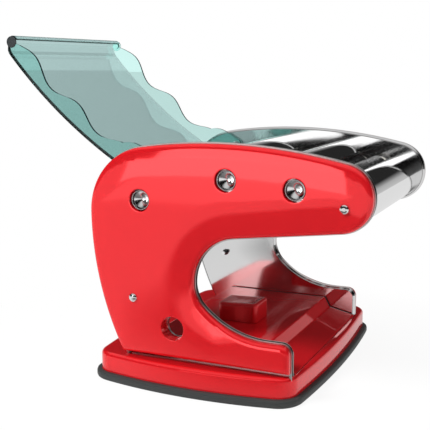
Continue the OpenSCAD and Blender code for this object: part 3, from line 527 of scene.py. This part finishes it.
def make_cover(name, side, holes, replaced):
    shape = Shape()
    outline = lambda i: side_outline(i, COVER_FOOT + min(max(i - 0.8, 0), 5))
    put = lambda i, y: shape.ring(upright(outline(i), side * y))
    rim_line = outline(5)
    sunk = [crown(rim_line, p) for p in rim_line]
    inner_back, back = put(3.0, RIM + 0.3), put(1.2, RIM + 0.3)
    shape.band(inner_back, back)
    edge = [math.radians(80 * k / 9) for k in range(10)]
    wide, tall = 1 - math.cos(edge[-1]), math.sin(edge[-1])
    steps = [(0.8 + 4.2 * (1 - math.cos(t)) / wide, 3 * (1 - math.sin(t) / tall)) for t in edge]
    last = put(0.8, RIM + 0.6)
    shape.band(back, last)
    for i, drop in steps:
        ring = shape.ring([(x, side * (FACE - low - drop), z) for (x, z), low in zip(outline(i), sunk)])
        shape.band(last, ring)
        last = ring
    deep = put(3.0, FACE - WALL_DEPTH)
    shape.band(inner_back, deep)
    mouths, ends = [], []
    for c, r in holes:
        outer, inner = circle(c, r + 0.5), circle(c, r + 0.12)
        a = shape.ring([(x, side * (FACE - crown(rim_line, (x, z))), z) for x, z in outer])
        b = shape.ring([(x, side * (FACE - crown(rim_line, (x, z)) - 0.12), z) for x, z in inner])
        d = shape.ring(upright(circle(c, r), side * (FACE - 1.6)))
        e = shape.ring(upright(circle(c, r), side * (FACE - WALL_DEPTH)))
        shape.band(a, b)
        shape.band(b, d)
        shape.band(d, e)
        mouths.append(a)
        ends.append(e)
    domed_face(shape, side, rim_line, [last] + mouths, [(c, r + 0.5) for c, r in holes])
    shape.cap([deep] + ends)
    piece = shape.make(name, [red], "frame", "red_plastic")
    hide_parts(replaced)
    return piece


screw_holes = [(c, SCREW_R) for c in SCREWS]
near_holes = [(c, SOCKET_R) for c in SOCKETS] + [(LOW_HOLE, LOW_HOLE_R)] + screw_holes
near_cover = make_cover("near_cover", -1, near_holes, "cover_near")
far_cover = make_cover("far_cover", 1, [(KNOB, KNOB_R)] + screw_holes, "cover_far")

# %% [markdown]
# Light linking says which pieces a sheet of light reaches. Three sheets are made for
# the covers, and later for the cups in the sockets. The fourth, the panel for the
# hood, reaches everything except the covers.

# %% Link the sheets of light
covers_only = bpy.data.collections.new("mirrors the cover panel")
left_out = bpy.data.collections.new("all but the covers")
for cover in (near_cover, far_cover):
    covers_only.objects.link(cover)
    left_out.objects.link(cover)
for sheet in cover_sheets:
    sheet.light_linking.receiver_collection = covers_only
hood_panel.light_linking.receiver_collection = left_out
for entry in left_out.collection_objects:
    entry.light_linking.link_state = "EXCLUDE"
print("sheets for the covers:", len(cover_sheets))

# %% [markdown]
# Inside the sockets and the low hole the moulding runs back to the plate, so each
# hole gets a red sleeve.

# %% Sleeves behind the holes
def make_sleeve(name, places, r_in, r_out, mat, slot):
    shape = Shape()
    for c in places:
        back = FACE - WALL_DEPTH
        rims = [(r_in, back), (r_in, OUTER), (r_out, OUTER), (r_out, back)]
        rings = [shape.ring(upright(circle(c, r), -y)) for r, y in rims]
        for a, b in zip(rings, rings[1:] + rings[:1]):
            shape.band(a, b)
    return shape.make(name, [mat], "frame", slot)


SLEEVE_R = 10.6
socket_sleeves = make_sleeve("socket_sleeves", SOCKETS, SOCKET_R, SLEEVE_R, red, "red_plastic")
low_sleeve = make_sleeve("low_sleeve", [LOW_HOLE], LOW_HOLE_R, SLEEVE_R, red, "red_plastic")

# %% [markdown]
# Each socket holds a bright tube, set a little back from the face. Behind it turns the
# cup of its roller, a shallow cone that a crank can centre in.

# %% Make the socket tubes and cups
def turned(name, spots, rims, mat, body, slot, closed):
    shape = Shape()
    for c in spots:
        rings = [shape.ring(upright(circle(c, r), -y)) for r, y in rims]
        for a, b in zip(rings, rings[1:] + rings[:1] if closed else rings[1:]):
            shape.band(a, b)
        if not closed:
            shape.cap([rings[0]])
            shape.cap([rings[-1]])
    return shape.make(name, [mat], body, slot, 25)


tube_rims = [(6.8, 84.6), (7.4, 84.6), (7.4, 92.3), (7.25, 92.6), (6.95, 92.6), (6.8, 92.4)]
socket_liners = turned("socket_liners", SOCKETS, tube_rims, worked_steel, "frame", "bright_sheet", True)
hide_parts("socket_tubes")
cup_rims = [(2.0, 85.1), (6.4, 85.1), (6.4, 90.7), (6.2, 90.9), (5.9, 90.8), (1.2, 86.9), (0.5, 86.8)]
for spot, drive in zip(SOCKETS, ("smooth", "wide", "fine")):
    cup = turned(drive + "_cup", [spot], cup_rims, cup_steel, drive + "_drive", "cutter_steel", False)
    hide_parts(drive + "_dog")
    covers_only.objects.link(cup)

# %% [markdown]
# ## Steel plates and the seams of painted shade
# A plate is flat sheet whose edge is turned outwards, so it shows a rim five
# millimetres deep. The bend on the inside is painted nearly black, a painted dark
# line of shade, and the rim is satin. A thin seam of painted black shade fills the gap
# between the rim and the cover.

# %% Make the plates
BEND, BEND_STEPS, SHAFT_HOLE_R, LOW_WINDOW_R = 1.5, 7, 6.0, 8.6
FLAT, SATIN, PAINTED_SHADE = 0, 1, 2


def make_plate(name, side, holes, replaced):
    shape = Shape()
    bend = reversed(rounding(BEND, BEND, BEND_STEPS))
    rims = [(2.0, HALF)] + [(BEND - a, HALF + BEND - b) for a, b in bend]
    rims += [(0.0, RIM - 0.2), (0.2, RIM), (2.0, RIM), (2.0, OUTER)]
    rings = [shape.ring(upright(side_outline(i, 12 + i), side * y)) for i, y in rims]
    for k, (a, b) in enumerate(zip(rings, rings[1:])):
        shape.band(a, b, FLAT if k < 2 else PAINTED_SHADE if k <= BEND_STEPS else SATIN)
    inner, outer = [], []
    for c, r in holes:
        a, b = (shape.ring(upright(circle(c, r, 40), side * y)) for y in (HALF, OUTER))
        shape.band(a, b, SATIN)
        inner.append(a)
        outer.append(b)
    shape.cap([rings[0]] + inner)
    shape.cap([rings[-1]] + outer)
    piece = shape.make(name, [plate_steel, edge_steel, painted_shade_bend], "frame", "steel_plate")
    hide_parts(replaced)
    return piece


# painted shade: a black band in the gap between plate rim and cover, where shadow falls
def make_gap_shade(name, side):
    shape = Shape()
    rims = [(3.0, RIM), (1.1, RIM), (1.1, RIM + 0.4), (3.0, RIM + 0.4)]
    rings = [shape.ring(upright(side_outline(i, 25 + i), side * y)) for i, y in rims]
    for a, b in zip(rings, rings[1:] + rings[:1]):
        shape.band(a, b)
    return shape.make(name, [gap_shade_black], "frame", "dark_plastic")


shaft_holes = [(c, SHAFT_HOLE_R) for c in SOCKETS + [(44.9, 161.8), (95.1, 157.8)]]
near_plate = make_plate("near_plate", -1, shaft_holes + [(LOW_HOLE, LOW_WINDOW_R)], "plate_near")
far_plate = make_plate("far_plate", 1, shaft_holes + [(KNOB, KNOB_R)], "plate_far")
near_rim_gap_shade, far_rim_gap_shade = make_gap_shade("near_rim_gap_shade", -1), make_gap_shade("far_rim_gap_shade", 1)

# %% [markdown]
# ## Base and rubber skirt
# Seen from above the base is a rectangle with bowed sides and round corners. The red
# moulding has a rounded upper edge, and the skirt wraps its foot.

# %% The outline of the base
BASE_MIDDLE, HALF_X, HALF_Y = (-2.4, 11.7), 89.8, 117.6
BOW_X, BOW_Y, CORNER = 1000.0, 342.0, 20.5
front_arc, side_arc = (HALF_X - BOW_X, 0), (0, HALF_Y - BOW_Y)
corner_c = crossing(side_arc, BOW_Y - CORNER, front_arc, BOW_X - CORNER)


def base_outline(i):
    a, b = heading(front_arc, corner_c), heading(side_arc, corner_c)
    quarter = arc(front_arc, BOW_X - i, 0, a, 12) + arc(corner_c, CORNER - i, a + 3, b - 3, 26)
    quarter += arc(side_arc, BOW_Y - i, b, 90, 20)
    half = quarter + [(-x, y) for x, y in reversed(quarter)][1:]
    ring = half + [(x, -y) for x, y in reversed(half)][1:-1]
    return [(x + BASE_MIDDLE[0], y + BASE_MIDDLE[1]) for x, y in ring]


print("base corner centre:", tuple(round(v, 2) for v in corner_c))

# %% Make the base
def make_base():
    shape = Shape()
    last = None
    steps = [(7.4, 3.2), (4.0, 3.2), (4.0, 18.2)]
    steps += [(4 + a, 21.5 - 3.3 + (3.3 - b)) for a, b in rounding(3.3, 3.3)]
    steps += [(7.8, 21.5)]
    for i, z in steps:
        ring = shape.ring(level(base_outline(i), z))
        if last:
            shape.band(last, ring)
        else:
            foot = ring
        last = ring
    shape.cap([last])
    under = shape.ring(level(base_outline(7.4), 18.1))
    shape.band(foot, under)
    shape.cap([under])
    return shape


base_shell = make_base().make("base_shell", [red], "frame", "red_plastic")
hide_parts("base")

# %% [markdown]
# The raised floor between the plates drops over a short ramp to a long apron. It is
# drawn as a profile from the side and stretched across, with its edges broken by a
# bevel. A thin black strip of painted shade fills the shadow gap beside each plate.

# %% Make the raised floor
def stretched(name, profile, y0, y1, mats, body, slot, bevel=0.0, sharp=32):
    shape = Shape()
    a, b = shape.ring(upright(profile, y0)), shape.ring(upright(profile, y1))
    shape.band(a, b)
    shape.cap([a])
    shape.cap([b])
    piece = shape.make(name, mats, body, slot, sharp)
    if bevel:
        soft = piece.modifiers.new("soft edges", "BEVEL")
        soft.width, soft.segments, soft.angle_limit = bevel * MM, 4, math.radians(15)
        soft.harden_normals = True
    return piece


floor_profile = [(-42, 19), (-42, 36.4), (50, 36.4), (54.7, 27.5), (77.0, 22.7), (77.8, 21.0), (77.8, 19)]
floor_half = HALF - 1.7
raised_floor = stretched(
    "raised_floor", floor_profile, -floor_half, floor_half, [red], "frame", "red_plastic", 1.2)
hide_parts("base")
gap_profile = [(-42, 19), (-42, 35.9), (49.8, 35.9), (54.4, 27.2), (76.6, 22.4), (76.6, 19)]
# black strips of painted shade fill the shadow gaps beside the plates
for end, name in ((-1, "near_gap"), (1, "far_gap")):
    y0, y1 = end * (HALF - 0.1), end * (HALF - 1.65)
    stretched(name, gap_profile, y0, y1, [gap_shade_black], "frame", "dark_plastic")

# %% Make the skirt
def make_skirt():
    shape = Shape()
    rims = [(16.4, 0.0), (1.6, 0.0), (0.5, 0.7), (0.0, 2.0), (0.0, 4.4), (0.4, 5.6), (1.2, 6.2)]
    rims += [(2.0, 6.3), (3.9, 6.3), (3.9, 3.2), (16.4, 3.2)]
    rings = [shape.ring(level(base_outline(i), z)) for i, z in rims]
    for a, b in zip(rings, rings[1:] + rings[:1]):
        shape.band(a, b)
    return shape.make("rubber_skirt", [rubber], "frame", "dark_rubber", 50)


rubber_skirt = make_skirt()
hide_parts("skirt")

# %% [markdown]
# ## Grip of the suction foot
# The grip is a block with round corners and a shallow hollow across its top. Rings
# of a rounded rectangle climb the sides and then close in over the hollowed top.

# %% Make the grip
GRIP = (6.8, -8.5)


def block_outline(i):
    a, b, r = 16.75 - 4, 14.0 - 4, max(4.0 - i, 0.4)
    shrink = max(i - 3.6, 0)
    a, b = a - shrink, b - shrink
    ring = []
    for sx, sy, start in ((1, 1, 0), (-1, 1, 90), (-1, -1, 180), (1, -1, 270)):
        ring += arc((GRIP[0] + sx * a, GRIP[1] + sy * b), r, start, start + 90, 8)
    return ring


def hollow_top(x):
    return 36.4 + 15.6 + 88.4 - math.sqrt(90 ** 2 - (x - GRIP[0] + 4) ** 2)


def make_grip():
    shape = Shape()
    last = shape.ring(level(block_outline(0), 36.7))
    bottom = last
    edge = [(2.4 * w, 2.4 * d) for w, d in rounding(1, 1, 7)]
    for i, drop in [(0, 2.6)] + edge + [(4, 0), (7, 0), (9.5, 0)]:
        ring = shape.ring([(x, y, hollow_top(x) - drop) for x, y in block_outline(i)])
        shape.band(last, ring)
        last = ring
    shape.cap([last])
    shape.cap([bottom])
    return shape.make("grip_block", [red_satin], "grip", "red_plastic", 40)


grip_block = make_grip()
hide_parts("grip")

# %% [markdown]
# ## The bright hood
# Three bent sheets lie between the plates. Each is an arc with some thickness,
# stretched across, fine enough to mirror without facets.

# %% Make the hood
def sheet_arc(c, r, t, a, b, n=60):
    return arc(c, r, a, b, n) + arc(c, r - t, b, a, n)


def make_sheet(name, profile, replaced):
    piece = stretched(name, profile, -HALF + 0.1, HALF - 0.1, [chrome], "frame", "bright_sheet")
    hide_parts(replaced)


REAR_SHEET_R, FRONT_MIDDLE = 60.5, (109.2, 147.5)
rear_a, rear_b = (math.degrees(math.acos(v / REAR_SHEET_R)) for v in (-35, 26))
rear_profile = [(-34.9, 157)] + sheet_arc((6, 118.5), REAR_SHEET_R, 2, rear_a, rear_b) + [(-33.2, 156.2)]
make_sheet("hood_rear_sheet", rear_profile, "hood_rear")
make_sheet("hood_middle_sheet", sheet_arc((66, 150), 28, 2, 124.8, 50), "hood_middle")
front_profile = arc(FRONT_MIDDLE, 17.5, 108, -90, 80) + [(100.2, 130.0), (100.2, 132.0)]
front_profile += arc(FRONT_MIDDLE, 15.5, -90, 108, 80)
make_sheet("hood_front_sheet", front_profile, "hood_front")

# %% [markdown]
# ## The clear tray
# The floor is one bent sheet. Its side walls rise and fall in waves and end in round
# cheeks with the hinge eyes. The lip at the top is rolled over into a tube.

# %% The curve of the tray
TRAY_R, TRAY_TOP, TRAY_END, EYE = 397.0, (-163.5, 249.7), (-60.4, 163.7), (-37.4, 171.0)
WALL, WALL_IN = 81.3, 79.3
span = math.dist(TRAY_TOP, TRAY_END)
along = ((TRAY_END[0] - TRAY_TOP[0]) / span, (TRAY_END[1] - TRAY_TOP[1]) / span)
rise = math.sqrt(TRAY_R ** 2 - (span / 2) ** 2)
tray_c = ((TRAY_TOP[0] + TRAY_END[0]) / 2 - along[1] * rise, (TRAY_TOP[1] + TRAY_END[1]) / 2 + along[0] * rise)
tray_a, tray_b = heading(tray_c, TRAY_TOP), heading(tray_c, TRAY_END)
LIP, LIP_R, BEND_R = (-162.2, 260.2), 5.0, 10.0
bend_c = (
    tray_c[0] + (TRAY_R - BEND_R) * math.cos(math.radians(tray_a)),
    tray_c[1] + (TRAY_R - BEND_R) * math.sin(math.radians(tray_a)),
)


def wall_rise(t):
    length = math.radians(t - tray_a) * TRAY_R
    return 13 + 3.9 * math.cos(math.radians(360 * (length - 16) / 55))


def on_tray(t, depth):
    r, turn_to = TRAY_R - depth, math.radians(t)
    return (tray_c[0] + r * math.cos(turn_to), tray_c[1] + r * math.sin(turn_to))


print("tray spans", round(span, 1), "mm between", round(tray_a, 2), "and", round(tray_b, 2), "degrees")

# %% Make the tray
CHEEK, CHEEK_R = (-57.8, 163.5), 21.5


def bend(inset, n=12):
    return arc(bend_c, BEND_R - inset, tray_a - 28, tray_a, n)


def curl(inset, n=60):
    return arc(LIP, LIP_R - inset, 30, 195, n)


def wall_profile():
    stop, n = tray_b - 1.2, 150
    steps = [tray_a + (stop - tray_a) * k / n for k in range(n + 1)]
    crest = [on_tray(t, wall_rise(t)) for t in steps]
    cheek = arc(CHEEK, CHEEK_R, 128, 62, 30)
    crest = [p for p in crest if math.dist(p, CHEEK) > CHEEK_R]
    eye = arc(EYE, 5, 60, -80, 20)
    under = [(TRAY_END[0] + 2, TRAY_END[1] + 0.5)]
    floor = [on_tray(tray_b + (tray_a - tray_b) * k / 60, 0) for k in range(60)]
    start = list(reversed(bend(0))) + list(reversed(arc(LIP, LIP_R - 1.8, -20, 195, 30)))
    return crest + [p for p in cheek if p[0] > crest[-1][0]] + eye + under + floor + start


def make_tray():
    shape = Shape()
    outline = wall_profile()
    bore = circle(EYE, 2.05, 24)
    for side in (-1, 1):
        out_ring, in_ring = (shape.ring(upright(outline, side * y)) for y in (WALL, WALL_IN))
        out_bore, in_bore = (shape.ring(upright(bore, side * y)) for y in (WALL, WALL_IN))
        shape.band(out_ring, in_ring, 1)
        shape.band(out_bore, in_bore, 1)
        shape.cap([out_ring, out_bore])
        shape.cap([in_ring, in_bore])
    floor = lambda d: [on_tray(tray_a + (tray_b - tray_a) * k / 80, d) for k in range(1, 81)]
    sheet = curl(0) + bend(0) + floor(0) + list(reversed(curl(1.8) + bend(2) + floor(2)))
    a, b = shape.ring(upright(sheet, -WALL_IN + 0.01)), shape.ring(upright(sheet, WALL_IN - 0.01))
    shape.band(a, b, 2)
    shape.cap([a], 2)
    shape.cap([b], 2)
    return shape.make("clear_tray", [clear_teal, edge_shade_teal, floor_teal], "tray", "clear_teal", 30)


clear_tray = make_tray()
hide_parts("tray")

# %% [markdown]
# A plug closes each end of the rolled lip. The near one is dark and the far one clear.

# %% Close the ends of the lip
def make_plug(name, side, mat, slot):
    shape = Shape()
    rims = [(2.9, WALL - 3.0), (2.9, WALL - 0.9), (4.3, WALL - 0.9)]
    rims += [(4.5, WALL - 0.6), (4.5, WALL - 0.1), (4.1, WALL + 0.2)]
    rings = [shape.ring(upright(circle(LIP, r, 40), side * y)) for r, y in rims]
    for a, b in zip(rings, rings[1:]):
        shape.band(a, b)
    shape.cap([rings[0]])
    shape.cap([rings[-1]])
    return shape.make(name, [mat], "tray", slot)


near_plug = make_plug("near_plug", -1, dark_plastic, "dark_plastic")
far_plug = make_plug("far_plug", 1, clear_teal, "clear_teal")
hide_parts("tray_caps")

# %% [markdown]
# ## The floor
# A plain pale floor carries the machine and keeps a soft shadow close to it. The camera
# sees it almost white. Gloss sees it a little darker, with a painted dark patch in front
# of the near side that only gloss sees: a painted reflection that gives the red arm the
# dark band along its underside. Both tones go by the place on the floor.

# %% Lay the floor
floor_mesh = bpy.data.meshes.new("pale floor")
floor_mesh.from_pydata([(-30, -30, 0), (30, -30, 0), (30, 30, 0), (-30, 30, 0)], [], [(0, 1, 2, 3)])
pale_floor = bpy.data.objects.new("pale_floor", floor_mesh)
bpy.context.scene.collection.objects.link(pale_floor)
floor_paint = bpy.data.materials.new("pale floor paint")
floor_paint.use_nodes = True
tree = floor_paint.node_tree
tree.nodes.clear()
out = tree.nodes.new("ShaderNodeOutputMaterial")
ray = tree.nodes.new("ShaderNodeLightPath")
matte = tree.nodes.new("ShaderNodeBsdfDiffuse")
matte.inputs["Color"].default_value = (0.9, 0.9, 0.9, 1)
glow = tree.nodes.new("ShaderNodeEmission")
glow.inputs["Color"].default_value = (1, 1, 1, 1)
add = tree.nodes.new("ShaderNodeMath")
add.operation = "MAXIMUM"
tree.links.new(ray.outputs["Is Camera Ray"], add.inputs[0])
tree.links.new(ray.outputs["Is Glossy Ray"], add.inputs[1])
more = tree.nodes.new("ShaderNodeMath")
more.operation = "MAXIMUM"
tree.links.new(add.outputs[0], more.inputs[0])
tree.links.new(ray.outputs["Is Transmission Ray"], more.inputs[1])
spot = tree.nodes.new("ShaderNodeNewGeometry")
reach = tree.nodes.new("ShaderNodeVectorMath")
reach.operation = "LENGTH"
tree.links.new(spot.outputs["Position"], reach.inputs[0])
fade = tree.nodes.new("ShaderNodeMapRange")
set_range(fade, (0.10, 0.28, 0.90, 1.0))
tree.links.new(reach.outputs["Value"], fade.inputs["Value"])
# painted reflection: a dark spot on the floor that only gloss sees, drawing the dark band under the red arm
painted_dark_spot = tree.nodes.new("ShaderNodeVectorMath")
painted_dark_spot.operation = "DISTANCE"
painted_dark_spot.inputs[1].default_value = (0.06, -0.33, 0)
tree.links.new(spot.outputs["Position"], painted_dark_spot.inputs[0])
dim = tree.nodes.new("ShaderNodeMapRange")
set_range(dim, (0.17, 0.25, 0.15, 0.78))
tree.links.new(painted_dark_spot.outputs["Value"], dim.inputs["Value"])
tone = tree.nodes.new("ShaderNodeMix")
tone.inputs["A"].default_value = 1.0
tree.links.new(ray.outputs["Is Glossy Ray"], tone.inputs["Factor"])
tree.links.new(dim.outputs["Result"], tone.inputs["B"])
tree.links.new(tone.outputs["Result"], glow.inputs["Strength"])
part = tree.nodes.new("ShaderNodeMath")
part.operation = "MULTIPLY"
tree.links.new(more.outputs[0], part.inputs[0])
tree.links.new(fade.outputs["Result"], part.inputs[1])
mix = tree.nodes.new("ShaderNodeMixShader")
tree.links.new(part.outputs[0], mix.inputs["Fac"])
tree.links.new(matte.outputs[0], mix.inputs[1])
tree.links.new(glow.outputs[0], mix.inputs[2])
tree.links.new(mix.outputs[0], out.inputs["Surface"])
floor_mesh.materials.append(floor_paint)
print("floor laid")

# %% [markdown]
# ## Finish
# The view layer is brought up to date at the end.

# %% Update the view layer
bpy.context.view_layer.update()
